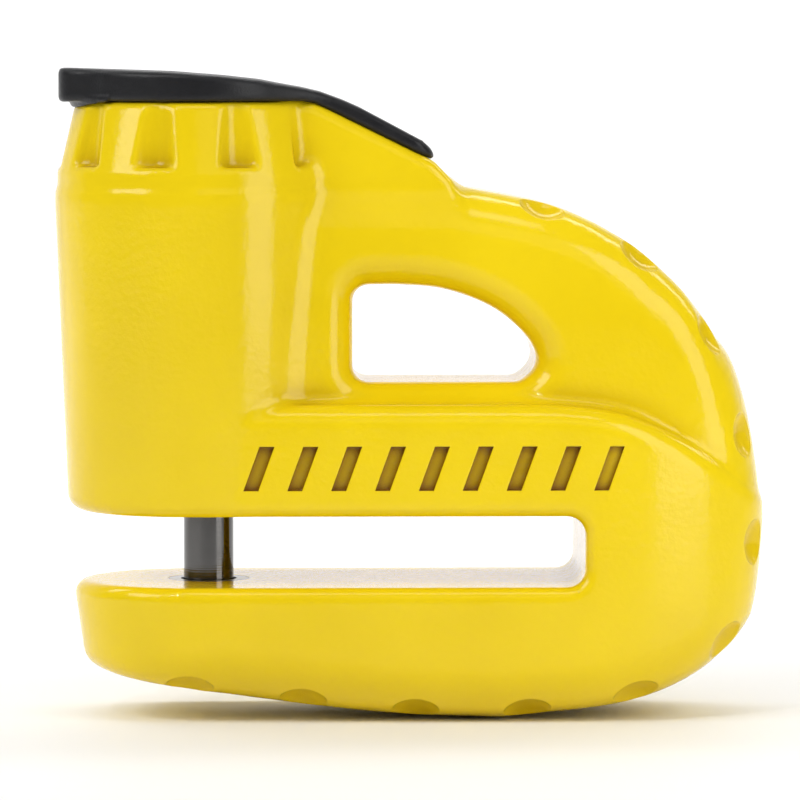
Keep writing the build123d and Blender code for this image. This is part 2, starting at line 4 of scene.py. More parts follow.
import bmesh
import bpy
import numpy as np
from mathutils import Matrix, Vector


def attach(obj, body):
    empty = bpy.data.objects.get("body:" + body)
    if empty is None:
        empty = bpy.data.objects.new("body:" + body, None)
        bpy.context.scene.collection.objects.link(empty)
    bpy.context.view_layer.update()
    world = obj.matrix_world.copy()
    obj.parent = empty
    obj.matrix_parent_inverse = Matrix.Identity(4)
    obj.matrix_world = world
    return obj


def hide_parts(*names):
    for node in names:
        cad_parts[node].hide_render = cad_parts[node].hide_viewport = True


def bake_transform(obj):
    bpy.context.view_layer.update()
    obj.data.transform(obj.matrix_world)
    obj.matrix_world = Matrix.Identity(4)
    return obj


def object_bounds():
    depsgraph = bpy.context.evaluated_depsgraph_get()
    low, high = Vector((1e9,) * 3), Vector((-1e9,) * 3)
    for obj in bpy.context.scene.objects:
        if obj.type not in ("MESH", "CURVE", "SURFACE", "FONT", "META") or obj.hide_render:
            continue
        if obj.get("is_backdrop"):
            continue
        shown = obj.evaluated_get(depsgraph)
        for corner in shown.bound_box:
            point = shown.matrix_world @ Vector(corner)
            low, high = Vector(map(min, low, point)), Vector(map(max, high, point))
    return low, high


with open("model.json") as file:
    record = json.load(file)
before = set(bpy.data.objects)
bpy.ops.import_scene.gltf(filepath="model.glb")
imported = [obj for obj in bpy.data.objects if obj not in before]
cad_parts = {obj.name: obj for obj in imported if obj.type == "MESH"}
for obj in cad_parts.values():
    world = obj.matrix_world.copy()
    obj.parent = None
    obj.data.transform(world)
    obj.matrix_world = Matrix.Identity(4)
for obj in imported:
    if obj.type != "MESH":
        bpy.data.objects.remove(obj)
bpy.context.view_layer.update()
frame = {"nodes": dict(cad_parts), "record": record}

import openvdb
from mathutils import Matrix, Vector

# Disc brake lock. Shapes are worked out in millimetres and turned into metres when they are meshed.
# The origin is the locking pin's axis in the middle of the disc slot; +X runs to the slot's closed
# end, -Y faces the camera, +Z is up.
MM = 0.001

# ---- body: outlines are (X, Z), tables are (place, value) with straight lines in between ---------
SLOT_HALF = 3.5
SLOT_END_X = 37.1
SLOT_CORNER = 1.8
SLOT_EDGE_ROUND = [(-13, 1.6), (-8, 1.2)]  # by X
BODY_HALF_W = 12.5
REAR_START_X = 36.8  # where the rear starts to round off, seen from above
REAR_ELLIPSE = 19.8
NOSE_DRAFT = 0.013  # the nose draws in below the slot, per mm
BRIDGE_TOP_Z = 14.5
ARCH_TOP_Z = 36.0
REAR = [
    (24.0, ARCH_TOP_Z),
    (35.2, 33.5),
    (43.4, 28.8),
    (51.2, 19.0),
    (54.9, 7.0),
    (55.3, 0.5),
    (52.6, -9.2),
    (43.5, -15.2),
    (29.0, -17.2),
]
JAW = [(29.0, -17.2), (19.0, -16.8), (10.0, -15.9), (0.0, -14.4), (-10.0, -12.4)]
JAW_NOSE = [(-16.0, -11.3), (-30.0, -8.5)]
# how far the rim stands out from REAR, by X, fading out by Z towards the jaw
SWELL = [
    (24.0, 0.0),
    (36.0, 0.0),
    (40.0, -0.1),
    (44.0, 0.1),
    (47.0, 0.3),
    (50.5, 0.35),
    (52.0, 0.85),
    (55.5, 1.45),
]
SWELL_FADE = [(-12, 0), (-7, 1)]
# how far it stands in along the jaw's belly, by Z, fading out by X towards the nose
TUCK = [(-15, 0.4), (-12, 0.0)]
TUCK_FADE = [(-9, 0), (-4, 1)]
RIM_ROUND = 6.0
REAR_END_ROUND = 3.6
RIM_ROUNDING = [(-12, 1.6), (-8, 2.5), (2, RIM_ROUND), (42, RIM_ROUND), (54, REAR_END_ROUND)]  # by X
SHOULDER = [(30.0, BRIDGE_TOP_Z), (36.0, 14.3), (42.0, 13.2), (50.0, 9.6), (60.0, 3.5)]
SHOULDER_ROUND = 2.1
# fillet between the bridge and what stands on it: by Z, times a fraction by X
CREASE = [(11.5, 0.4), (13.5, 1.1)]
CREASE_FADE = [(3, 0.1), (8, 1.0), (44, 1.0), (52, 0.02)]
FRONT_X = -30.0  # beyond the nose
SLOT_MOUTH_X = -40.0
ABOVE = [(70.0, 2.5), (70.0, 80.0), (FRONT_X, 80.0)]  # beyond the rear and the top
DEEP_INSIDE = -9.0  # a distance that leaves the other field as it is

# ---- finger arch and its D-shaped hole, the hole's outline HOLE_CORNER inside of the real one ----
ARCH_HALF_W = 9.2
ARCH_ROUND = 5.0
ARCH_ROUNDING = [(44, ARCH_ROUND), (54, REAR_END_ROUND)]  # by X
ARCH_DRAFT = 0.03  # each side draws in, per mm above ARCH_DRAFT_Z
ARCH_DRAFT_Z = 22
ARCH_INSET = 0.3  # inside the body's plan at the rear
ARCH_PLAN_ROUND = 2.0
ARCH_FOOT_Z = -8  # hidden in the lower body
ARCH_FOOT = [(40.0, ARCH_FOOT_Z), (0.0, 6.0), (0.0, ARCH_TOP_Z)]
HOLE_CORNER = 1.6
HOLE_TOP = [
    (15.9, 24.5),
    (19.0, 24.5),
    (23.0, 24.1),
    (27.1, 22.6),
    (29.8, 20.5),
    (30.8, 18.9),
    (30.2, 18.1),
]
HOLE_FOOT = (15.9, 18.1)
HOLE_EDGE_ROUND = 3.2

# ---- key barrel, and the slope behind it that carries the strap ----------------------------------
BARREL_X = -1.05
BARREL_TOP_Z = 44.2
BARREL_PROFILE = [  # height, radius
    (0.0, 12.8),
    (34.4, 14.2),
    (35.3, 14.15),
    (35.8, 13.95),
    (37.1, 13.95),
    (37.8, 13.75),
    (43.9, 12.25),
    (50.0, 10.7),
]
HEAD_EDGE_ROUND = 0.8
BARREL_FILLET = 1.5
SCALLOP_ANGLES = (0, 36, 72, 108, 144)  # each side, 0 is towards -X
SCALLOP_FOOT_Z = 37.8
SCALLOP_R = 2.5
SCALLOP_TAPER = 0.07  # per mm of height
SCALLOP_AXIS_R = 14.9
SCALLOP_LEAN = 0.17  # inwards, per mm of height
SCALLOP_FOOT_ROUND = 0.4
SCALLOP_EDGE_ROUND = 0.35
SLOPE_TOP = (10.4, BARREL_TOP_Z)
SLOPE_END = (22.35, 38.3)
SADDLE_HALF_W = 7.6
SADDLE_FOOT_Z = 28.0
SADDLE_END = [(24.2, 36.4), (25.5, 33.0), (24.0, SADDLE_FOOT_Z)]
SADDLE_ROUND = 1.2
SADDLE_FILLET = 1.2

# ---- pockets: bores, rim dimples and the row of strokes ------------------------------------------
BORE_R = 9.0
BORE_FLOOR_Z = 7.0
BORE_END_Z = 60.0  # above the barrel
BORE_CHAMFER = (-0.3, 0.5, 0.8)  # foot and top from the barrel's top, widening
BUSHING_R = 4.0
BUSHING_PAST = 0.5  # its hole goes on this far into the bore
CUP_DEPTH = 5.0
CROSS_PIN = (-13.7, 11.2, 1.5)  # outer end in X, height, radius
CROSS_PIN_PAST = (3, 1)  # its hole goes on this far in front and into the bore
RING_GROOVE = (42.12, 42.88, 9.63)  # foot, top, radius
DIMPLE_START = 9.4  # along the rim, from the arch's top
DIMPLE_PITCH = 10.85
REAR_DIMPLES = 5  # after these the pitch is JAW_DIMPLE_PITCH
JAW_DIMPLE_PITCH = 11.2
DIMPLE_COUNT = 11
DIMPLE_R = 3.1
DIMPLE_DEPTH = 1.1
DIMPLE_REACH = (12, 600)  # how far out, and in how many steps, a dimple's place is looked for
ARCH_DIMPLE_Z = 8  # dimples above this are on the arch
ARCH_DIMPLE_TILT = math.radians(20)
LOWER_DIMPLE_TILT = math.radians(29)
REAR_END_X = 50  # beyond this the lower dimples take the arch's tilt
STROKE_COUNT = 9
STROKE_LEFT_X = 5.0
STROKE_PITCH = 4.3
STROKE_SIZE = (1.3, 4.2)
STROKE_LEAN = math.radians(20)
STROKE_MID_Z = 8.3
STROKE_DEPTH = 0.7
STROKE_DRAFT = 0.15

# ---- rubber cover --------------------------------------------------------------------------------
COVER_R = 12.4
COVER_TOP = [
    (-14.6, 47.5),
    (-3.7, 47.1),
    (1.4, 46.7),
    (5.1, 46.3),
    (7.2, 45.9),
    (9.5, 45.5),
    (11.2, 45.1),
    (13.4, 44.3),
    (15.2, 43.5),
    (18.4, 41.8),
    (21.2, 40.3),
    (22.4, 39.3),
]
COVER_FOOT = [(-14.6, 44.1), (-12.9, 44.23), (9.4, 44.25), (10.6, 44.05), (22.4, 38.3)]
COVER_TOP_SLOPE = 0.93  # turns height over the top into distance
COVER_EDGE_ROUND = 0.55
PAD_CORNER = 2.0
TAB = (-9.6, 3.0, 3.5)  # middle in X, half length and half width without the corners
TAB_FILLET = 2.5
STRAP = (12.0, 8.35, 5.2)
STRAP_FILLET = 3.0
LIP_INSET = 0.3  # the lip's middle, inside of COVER_R
LIP_HALF = 0.5
LIP_FOOT_Z = 43.6
LIP_RISE = 0.22  # per mm of X beyond LIP_START_X
LIP_START_X = -12.9
LIP_BACK_X = -9.8
LIP_TOP_Z = 44.7
LIP_ROUNDS = (0.15, 0.1, 0.35)  # foot, top and ends, where it meets the cover
BOSS = (7.1, 43.9, 45.5)  # radius, foot, top of the disc under the flap, inside the retaining ring
SCREW_PLACES = (4.0, 10.0)  # along the slope
SCREW_HEAD_R = 1.8
SCREW_EDGE_ROUND = 0.15


# ---- distance fields -----------------------------------------------------------------------------
def follow(place, table):
    """What a table of (place, value) rows says at a place."""
    return np.interp(place, *zip(*table))


def smooth_line(points, steps=8):
    """Points along a Catmull-Rom curve through the given ones."""
    pts = np.array([points[0], *points, points[-1]], dtype=float)
    pts[0] = 2 * pts[1] - pts[2]
    pts[-1] = 2 * pts[-2] - pts[-3]
    t = np.linspace(0, 1, steps, endpoint=False)[:, None]
    runs = []
    for a, b, c, d in zip(pts, pts[1:], pts[2:], pts[3:]):
        cubic = (-a + 3 * b - 3 * c + d) * t**3 + (2 * a - 5 * b + 4 * c - d) * t**2
        runs.append(0.5 * (2 * b + (c - a) * t + cubic))
    return np.vstack([*runs, pts[-2:-1]])


def polygon(u, v, corners):
    """Signed distance to a closed outline in a plane, negative inside."""
    u, v = np.broadcast_arrays(u, v)
    best = np.full(u.shape, 1e9)
    inside = np.zeros(u.shape, dtype=bool)
    corners = np.asarray(corners, dtype=float)
    for (x0, y0), (x1, y1) in zip(corners, np.roll(corners, -1, axis=0)):
        ex, ey = x1 - x0, y1 - y0
        length = ex * ex + ey * ey
        if length == 0:
            continue
        along = np.clip(((u - x0) * ex + (v - y0) * ey) / length, 0, 1)
        best = np.minimum(best, (u - x0 - along * ex) ** 2 + (v - y0 - along * ey) ** 2)
        if ey:
            inside ^= ((v >= y0) != (v >= y1)) & (u < x0 + (v - y0) * ex / ey)
    return np.where(inside, -1, 1) * np.sqrt(best)


def join(a, b, r):
    """Union with a fillet of radius r where the two meet."""
    u, v = np.maximum(r - a, 0), np.maximum(r - b, 0)
    return np.maximum(r, np.minimum(a, b)) - np.sqrt(u * u + v * v)


def meet(a, b, r):
    """Intersection with its edge rounded to radius r."""
    u, v = np.maximum(r + a, 0), np.maximum(r + b, 0)
    return np.minimum(-r, np.maximum(a, b)) + np.sqrt(u * u + v * v)


def cut(a, b, r):
    """What is left of a without b, its new edge rounded to radius r."""
    return meet(a, -b, r)


def rounded(u, v, corners, r):
    """Signed distance to an outline whose corners, given r inside of it, are rounded to radius r."""
    return polygon(u, v, corners) - r


def pad(u, v, half_u, half_v):
    """Signed distance to a rectangle with rounded corners, given PAD_CORNER inside of it."""
    past_u, past_v = np.maximum(np.abs(u) - half_u, 0), np.maximum(np.abs(v) - half_v, 0)
    return np.sqrt(past_u**2 + past_v**2) - PAD_CORNER


class Grid:
    """A box of evenly spaced points on which a field is worked out and then meshed."""

    def __init__(self, low, high, step):
        self.low, self.step = low, step
        axes = [np.arange(a, b + step, step, dtype=np.float32) for a, b in zip(low, high)]
        self.x = axes[0][:, None, None]
        self.y = axes[1][None, :, None]
        self.z = axes[2][None, None, :]

    def mesh(self, field, name):
        """A mesh object on the field's zero surface, in metres."""
        band = 4 * self.step
        volume = openvdb.FloatGrid(band)
        volume.copyFromArray(np.ascontiguousarray(np.clip(field, -band, band), dtype=np.float32))
        points, quads = volume.convertToQuads(0.0)
        places = (points * self.step + np.array(self.low)) * MM
        mesh = bpy.data.meshes.new(name)
        mesh.from_pydata(places.tolist(), [], quads[:, ::-1].tolist())
        mesh.validate()
        mesh.shade_smooth()
        piece = bpy.data.objects.new(name, mesh)
        bpy.context.collection.objects.link(piece)
        return piece


# ---- the casting ---------------------------------------------------------------------------------
def plan_field(x, y, z):
    """The body from above: a round nose about the barrel, straight sides, a rounded rear."""
    past = np.maximum(x - REAR_START_X, 0) * (BODY_HALF_W / REAR_ELLIPSE)
    nose_draft = 1 + NOSE_DRAFT * np.maximum(-z - SLOT_HALF, 0)
    before = np.maximum(BARREL_X - x, 0) * nose_draft
    return np.sqrt(past**2 + before**2 + y**2) - BODY_HALF_W


def swell_field(x, z):
    """How far the rim stands out from its drawn outline."""
    swell = follow(x, SWELL) * follow(z, SWELL_FADE)
    return swell - follow(z, TUCK) * follow(x, TUCK_FADE)


def lower_field(x, z, rear, plan, swell):
    """Bridge, rear and jaw, up to the shoulder that bends down towards the rear."""
    outline = polygon(x, z, [*rear, *smooth_line(JAW)[1:], *JAW_NOSE, (FRONT_X, ARCH_TOP_Z)]) - swell
    lower = meet(outline, plan, follow(x, RIM_ROUNDING))
    above = polygon(x, z, [(FRONT_X, BRIDGE_TOP_Z), *smooth_line(SHOULDER), *ABOVE])
    lower = cut(lower, above, SHOULDER_ROUND)
    # above the slot the barrel is the front
    return np.maximum(lower, np.where(z > 0, BARREL_X - x, DEEP_INSIDE))


def arch_field(x, y, z, rear, plan, swell):
    """The finger arch with its hole."""
    on_arch = [point for point in rear if point[1] > ARCH_FOOT_Z]
    arch = polygon(x, z, [*on_arch, *ARCH_FOOT]) - swell
    side = np.abs(y) - ARCH_HALF_W + ARCH_DRAFT * np.maximum(z - ARCH_DRAFT_Z, 0)
    arch = meet(arch, meet(side, plan + ARCH_INSET, ARCH_PLAN_ROUND), follow(x, ARCH_ROUNDING))
    hole = rounded(x, z, [*smooth_line(HOLE_TOP), HOLE_FOOT], HOLE_CORNER)
    return cut(arch, hole, HOLE_EDGE_ROUND)


def barrel_field(x, y, z):
    """The key barrel with its coned head and the scallops round it."""
    barrel = np.sqrt((x - BARREL_X) ** 2 + y**2) - follow(z, BARREL_PROFILE)
    barrel = meet(barrel, z - BARREL_TOP_Z, HEAD_EDGE_ROUND)
    barrel = np.maximum(barrel, -z)
    for angle in SCALLOP_ANGLES:
        axis_r = SCALLOP_AXIS_R - SCALLOP_LEAN * (z - SCALLOP_FOOT_Z)
        along = BARREL_X - axis_r * math.cos(math.radians(angle))
        across = axis_r * math.sin(math.radians(angle))
        radius = SCALLOP_R - SCALLOP_TAPER * (z - SCALLOP_FOOT_Z)
        scallop = np.sqrt((x - along) ** 2 + (np.abs(y) - across) ** 2) - radius
        scallop = meet(scallop, SCALLOP_FOOT_Z - z, SCALLOP_FOOT_ROUND)
        barrel = cut(barrel, scallop, SCALLOP_EDGE_ROUND)
    return barrel


def saddle_field(x, y, z):
    """The slope behind the barrel."""
    corners = [(0.0, BARREL_TOP_Z), SLOPE_TOP, SLOPE_END, *SADDLE_END, (0.0, SADDLE_FOOT_Z)]
    return meet(polygon(x, z, corners), np.abs(y) - SADDLE_HALF_W, SADDLE_ROUND)


def body_field(x, y, z):
    """The casting, without its pockets."""
    rear = smooth_line(REAR)
    plan = plan_field(x, y, z)
    swell = swell_field(x, z)
    lower = lower_field(x, z, rear, plan, swell)
    arch = arch_field(x, y, z, rear, plan, swell)
    body = join(arch, saddle_field(x, y, z), SADDLE_FILLET)
    body = join(body, barrel_field(x, y, z), BARREL_FILLET)
    body = join(body, lower, follow(z, CREASE) * follow(x, CREASE_FADE))
    inner = SLOT_HALF - SLOT_CORNER
    end = SLOT_END_X - SLOT_CORNER
    corners = [(SLOT_MOUTH_X, -inner), (end, -inner), (end, inner), (SLOT_MOUTH_X, inner)]
    slot = rounded(x, z, corners, SLOT_CORNER)
    return cut(body, slot, follow(x, SLOT_EDGE_ROUND))


def dimple_centres():
    """Centres of the spheres that cut the dimples, evenly spaced along the rim, one side."""
    rim = np.vstack([smooth_line(REAR, 40), smooth_line(JAW, 40)[1:]])
    length = np.concatenate([[0], np.cumsum(np.hypot(*np.diff(rim, axis=0).T))])
    reach = np.linspace(0, *DIMPLE_REACH)
    for number in range(DIMPLE_COUNT):
        place = DIMPLE_START + min(number, REAR_DIMPLES) * DIMPLE_PITCH
        place += max(number - REAR_DIMPLES, 0) * JAW_DIMPLE_PITCH
        here, ahead = [
            np.array([np.interp(at, length, rim[:, i]) for i in (0, 1)]) for at in (place, place + 0.5)
        ]
        out = np.array([here[1] - ahead[1], ahead[0] - here[0]]) / np.hypot(*(ahead - here))
        if here[1] > ARCH_DIMPLE_Z:
            half_width, rounding, tilt = ARCH_HALF_W, ARCH_ROUND, ARCH_DIMPLE_TILT
        else:
            narrowing = max(here[0] - RIM_ROUND - REAR_START_X, 0) / REAR_ELLIPSE
            half_width = BODY_HALF_W * math.sqrt(1 - narrowing**2)
            rounding = RIM_ROUND
            tilt = LOWER_DIMPLE_TILT if here[0] < REAR_END_X else ARCH_DIMPLE_TILT
        # outwards from the middle of the rim's rounding, until the sphere cuts DIMPLE_DEPTH deep
        run = math.cos(tilt) * reach - rounding
        x, z = here[0] + out[0] * run, here[1] + out[1] * run
        y = half_width - rounding + math.sin(tilt) * reach
        clear = np.nonzero(body_field(x, y, z) > DIMPLE_R - DIMPLE_DEPTH)[0][0]
        yield x[clear], y[clear], z[clear]


# ---- the rubber cover ----------------------------------------------------------------------------
def lip_field(x, y, z):
    """The lip that hugs the head's front edge, without its rounding into the cover."""
    lip = np.abs(np.sqrt((x - BARREL_X) ** 2 + y**2) - COVER_R + LIP_INSET) - LIP_HALF
    foot = LIP_FOOT_Z + LIP_RISE * np.maximum(x - LIP_START_X, 0)
    lip = meet(lip, foot - z, LIP_ROUNDS[0])
    return meet(lip, np.maximum(z - LIP_TOP_Z, x - LIP_BACK_X), LIP_ROUNDS[1])


def cover_field(x, y, z):
    """The rubber cover: flap, finger tab, thin bend and strap in one moulding."""
    slab = np.maximum((z - follow(x, COVER_TOP)) * COVER_TOP_SLOPE, follow(x, COVER_FOOT) - z)
    flap = np.sqrt((x - BARREL_X) ** 2 + y**2) - COVER_R
    plan = join(flap, pad(x - TAB[0], y, *TAB[1:]), TAB_FILLET)
    plan = join(plan, pad(x - STRAP[0], y, *STRAP[1:]), STRAP_FILLET)
    cover = meet(slab, plan, COVER_EDGE_ROUND)
    cover = join(cover, lip_field(x, y, z), LIP_ROUNDS[2])
    boss_r, boss_foot, boss_top = BOSS
    boss = np.maximum(np.sqrt(x**2 + y**2) - boss_r, np.maximum(boss_foot - z, z - boss_top))
    cover = np.minimum(cover, boss)
    slope = math.atan2(SLOPE_TOP[1] - SLOPE_END[1], SLOPE_END[0] - SLOPE_TOP[0])
    for place in SCREW_PLACES:
        along = (x - SLOPE_TOP[0]) * math.cos(slope) - (z - SLOPE_TOP[1]) * math.sin(slope) - place
        head = np.sqrt(along**2 + y**2) - SCREW_HEAD_R
        cover = cut(cover, head, SCREW_EDGE_ROUND)
    return cover


# ---- cutters -------------------------------------------------------------------------------------
SHARP = math.radians(28)  # edges steeper than this are shaded sharp


def solid(name, build):
    """A mesh object made by build(bm), sized in millimetres, to cut with."""
    bm = bmesh.new()
    build(bm)
    bmesh.ops.recalc_face_normals(bm, faces=bm.faces)
    bmesh.ops.scale(bm, vec=(MM, MM, MM), verts=bm.verts)
    mesh = bpy.data.meshes.new(name)
    bm.to_mesh(mesh)
    bm.free()
    cutter = bpy.data.objects.new(name, mesh)
    bpy.context.collection.objects.link(cutter)
    return cutter


def add_rod(bm, foot, top, r_foot, r_top, turns=96):
    """A round bar, or a cone, between two points."""
    foot, top = Vector(foot), Vector(top)
    axis = top - foot
    place = Matrix.Translation((foot + top) / 2) @ axis.to_track_quat("Z", "Y").to_matrix().to_4x4()
    bmesh.ops.create_cone(
        bm, cap_ends=True, segments=turns, radius1=r_foot, radius2=r_top, depth=axis.length, matrix=place
    )


def add_bores(bm):
    """The barrel's bore and, across into it, the hole of the pin that holds the liner."""
    pin_x, pin_z, pin_r = CROSS_PIN
    front, into = CROSS_PIN_PAST
    add_rod(bm, (0, 0, BORE_FLOOR_Z), (0, 0, BORE_END_Z), BORE_R, BORE_R)
    add_rod(bm, (pin_x - front, 0, pin_z), (into - BORE_R, 0, pin_z), pin_r, pin_r, 48)


def add_groove_and_bushing_hole(bm):
    """The retaining ring's groove, and the bushings' hole from the bore down into the jaw."""
    foot, top, groove_r = RING_GROOVE
    add_rod(bm, (0, 0, foot), (0, 0, top), groove_r, groove_r)
    cup_z, end_z = -SLOT_HALF - CUP_DEPTH, BORE_FLOOR_Z + BUSHING_PAST
    add_rod(bm, (0, 0, cup_z), (0, 0, end_z), BUSHING_R, BUSHING_R, 64)


def add_dimples(bm):
    for place in dimple_centres():
        for side in (-1, 1):
            centre = Matrix.Translation((place[0], side * place[1], place[2]))
            bmesh.ops.create_icosphere(bm, subdivisions=5, radius=DIMPLE_R, matrix=centre)


def add_strokes(bm):
    """A row of plain slanted strokes with a little draft, let into the -Y side."""
    for number in range(STROKE_COUNT):
        middle = STROKE_LEFT_X + number * STROKE_PITCH
        ends = []
        for depth, wider in ((STROKE_DEPTH, 0.0), (-STROKE_DEPTH, 2 * STROKE_DRAFT)):
            half_w, half_h = STROKE_SIZE[0] / 2 + wider / 2, STROKE_SIZE[1] / 2 + wider / 2
            corners = []
            for u, v in ((-half_w, -half_h), (half_w, -half_h), (half_w, half_h), (-half_w, half_h)):
                along = middle + u + v * math.tan(STROKE_LEAN)
                corners.append(bm.verts.new((along, depth - BODY_HALF_W, STROKE_MID_Z + v)))
            ends.append(corners)
        inner, outer = ends
        bm.faces.new(inner)
        bm.faces.new(outer)
        for i in range(4):
            bm.faces.new((inner[i], inner[i - 1], outer[i - 1], outer[i]))


def add_chamfer(bm):
    """Breaks the bore's upper edge."""
    foot, top, wider = BORE_CHAMFER
    add_rod(bm, (0, 0, BARREL_TOP_Z + foot), (0, 0, BARREL_TOP_Z + top), BORE_R, BORE_R + wider)


def carve(piece, *builders):
    """Cuts what each builder makes out of piece, for good."""
    for build in builders:
        cutter = solid(build.__name__, build)
        modifier = piece.modifiers.new("cut", "BOOLEAN")
        modifier.operation = "DIFFERENCE"
        modifier.solver = "MANIFOLD"
        modifier.object = cutter
        depsgraph = bpy.context.evaluated_depsgraph_get()
        mesh = bpy.data.meshes.new_from_object(piece.evaluated_get(depsgraph))
        piece.modifiers.clear()
        mesh.materials.clear()
        piece.data = mesh
        bpy.data.objects.remove(cutter)
    piece.data.shade_smooth()
    piece.data.set_sharp_from_angle(angle=SHARP)


# ---- materials: scales are in features per metre, distances in metres ----------------------------
class Shader:
    """A Principled material with helpers for its procedural detail, in object coordinates."""

    def __init__(self, name, **settings):
        self.material = bpy.data.materials.new(name)
        self.material.use_nodes = True
        self.nodes = self.material.node_tree.nodes
        self.link = self.material.node_tree.links.new
        self.surface = self.nodes["Principled BSDF"]
        self.place = self.nodes.new("ShaderNodeTexCoord").outputs["Object"]
        for socket, value in settings.items():
            self.surface.inputs[socket.replace("_", " ")].default_value = value

    def noise(self, scale, detail, stretch=None):
        """Noise between 0 and 1, its features drawn out along the axes with a small stretch."""
        node = self.nodes.new("ShaderNodeTexNoise")
        node.inputs["Scale"].default_value = scale
        node.inputs["Detail"].default_value = detail
        place = self.place
        if stretch:
            mapping = self.nodes.new("ShaderNodeMapping")
            mapping.inputs["Scale"].default_value = stretch
            self.link(place, mapping.inputs["Vector"])
            place = mapping.outputs["Vector"]
        self.link(place, node.inputs["Vector"])
        return node.outputs["Fac"]

    def ramp(self, value, low, high, at=(0.0, 1.0)):
        """A colour or number that follows value."""
        node = self.nodes.new("ShaderNodeValToRGB")
        for stop, colour, place in zip(node.color_ramp.elements, (low, high), at):
            stop.position = place
            stop.color = (*colour, 1) if isinstance(colour, tuple) else (colour, colour, colour, 1)
        self.link(value, node.inputs["Fac"])
        return node.outputs["Color"]

    def painted_recess_shade(self, colour, tint, reach, at):
        """Painted shade: the colour multiplied by tint in recesses about reach deep, where ambient
        occlusion finds them.
        """
        occlusion = self.nodes.new("ShaderNodeAmbientOcclusion")
        occlusion.samples = 8
        occlusion.only_local = True
        occlusion.inputs["Distance"].default_value = reach
        mix = self.nodes.new("ShaderNodeMix")
        mix.data_type = "RGBA"
        mix.blend_type = "MULTIPLY"
        mix.inputs["Factor"].default_value = 1
        self.link(colour, mix.inputs["A"])
        self.link(self.ramp(occlusion.outputs["AO"], tint, (1.0, 1.0, 1.0), at), mix.inputs["B"])
        return mix.outputs["Result"]

    def paint(self, colour, rough):
        self.link(colour, self.surface.inputs["Base Color"])
        self.link(rough, self.surface.inputs["Roughness"])

    def bump(self, *layers, edge=None):
        """Bump layers as (height, strength, distance), over edges that look rounded to edge."""
        last = None
        if edge:
            bevel = self.nodes.new("ShaderNodeBevel")
            bevel.samples = 6
            bevel.inputs["Radius"].default_value = edge
            last = bevel.outputs["Normal"]
        for height, strength, distance in layers:
            node = self.nodes.new("ShaderNodeBump")
            node.inputs["Strength"].default_value = strength
            node.inputs["Distance"].default_value = distance
            self.link(height, node.inputs["Height"])
            if last:
                self.link(last, node.inputs["Normal"])
            last = node.outputs["Normal"]
        self.link(last, self.surface.inputs["Normal"])


def yellow_coat():
    """Glossy yellow powder coat: faint orange peel, slight mottling, and painted shade: a browner, darker
    tone in its recesses.
    """
    shader = Shader("yellow_coat", IOR=1.5, Specular_IOR_Level=0.33)
    mottle = shader.noise(60, 2)
    colour = shader.ramp(mottle, (0.80, 0.575, 0.004), (0.85, 0.62, 0.006), (0.35, 0.65))
    # painted shade: dimples, strokes, scallops and creases turn browner and darker by ambient occlusion
    colour = shader.painted_recess_shade(colour, (0.32, 0.17, 0.25), 0.0028, (0.40, 0.94))
    shader.paint(colour, shader.ramp(shader.noise(180, 3), 0.10, 0.16))
    shader.bump((shader.noise(1400, 2), 0.10, 0.0003), (shader.noise(260, 1), 0.05, 0.0006), edge=0.0003)
    return shader.material


def black_rubber():
    shader = Shader("black_rubber", IOR=1.5, Specular_IOR_Level=0.28)
    colour = shader.ramp(shader.noise(500, 4), (0.006, 0.006, 0.007), (0.014, 0.014, 0.016))
    shader.paint(colour, shader.ramp(shader.noise(900, 4), 0.32, 0.46))
    shader.bump((shader.noise(4200, 3), 0.16, 0.0002), (shader.noise(700, 2), 0.06, 0.0004))
    return shader.material


def steel(name, tint, rough_low, rough_high):
    """Turned steel: fine rings across the axis, light smudges."""
    shader = Shader(name, Metallic=1.0)
    turning = shader.noise(700, 2, stretch=(0.05, 0.05, 9.0))
    smudge = shader.noise(150, 4)
    darker = tuple(0.8 * c for c in tint)
    colour = shader.ramp(smudge, darker, tint, (0.3, 0.7))
    shader.paint(colour, shader.ramp(smudge, rough_high, rough_low))
    shader.bump((turning, 0.1, 0.00006))
    return shader.material


def brass():
    """Turned brass with darker tarnish."""
    shader = Shader("brass", Metallic=1.0)
    tarnish = shader.noise(220, 4)
    colour = shader.ramp(tarnish, (0.45, 0.30, 0.12), (0.74, 0.56, 0.26), (0.3, 0.7))
    shader.paint(colour, shader.ramp(tarnish, 0.42, 0.26))
    shader.bump((shader.noise(900, 2, stretch=(0.05, 0.05, 6.0)), 0.1, 0.00006))
    return shader.material


def seal_rubber():
    shader = Shader("seal_rubber", IOR=1.5)
    colour = shader.ramp(shader.noise(800, 3), (0.02, 0.02, 0.02), (0.045, 0.045, 0.045))
    shader.paint(colour, shader.ramp(shader.noise(600, 3), 0.5, 0.7))
    return shader.material


def pale_floor():
    shader = Shader("floor", Roughness=0.6)
    shader.link(shader.ramp(shader.noise(6, 3), 0.92, 0.95), shader.surface.inputs["Base Color"])
    return shader.material


# ---- pieces --------------------------------------------------------------------------------------
MATERIALS = {
    "coated_body": yellow_coat(),
    "cover_rubber": black_rubber(),
    "seal_rubber": seal_rubber(),
    "hardened_steel": steel("polished_steel", (0.13, 0.125, 0.12), 0.05, 0.11),
    "steel": steel("satin_steel", (0.56, 0.56, 0.57), 0.26, 0.42),
    "brass_parts": brass(),
}
CASTING_STEP = 0.3
COVER_STEP = 0.22


def finish_piece(piece, slot, *nodes):
    piece.data.materials.append(MATERIALS[slot])
    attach(piece, "root")
    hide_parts(*nodes)


def casting():
    grid = Grid((-17.0, -16.0, -19.5), (58.0, 16.0, 46.5), CASTING_STEP)
    piece = grid.mesh(body_field(grid.x, grid.y, grid.z), "coated_casting")
    carve(piece, add_bores, add_groove_and_bushing_hole, add_dimples, add_strokes, add_chamfer)
    finish_piece(piece, "coated_body", "body_casting")


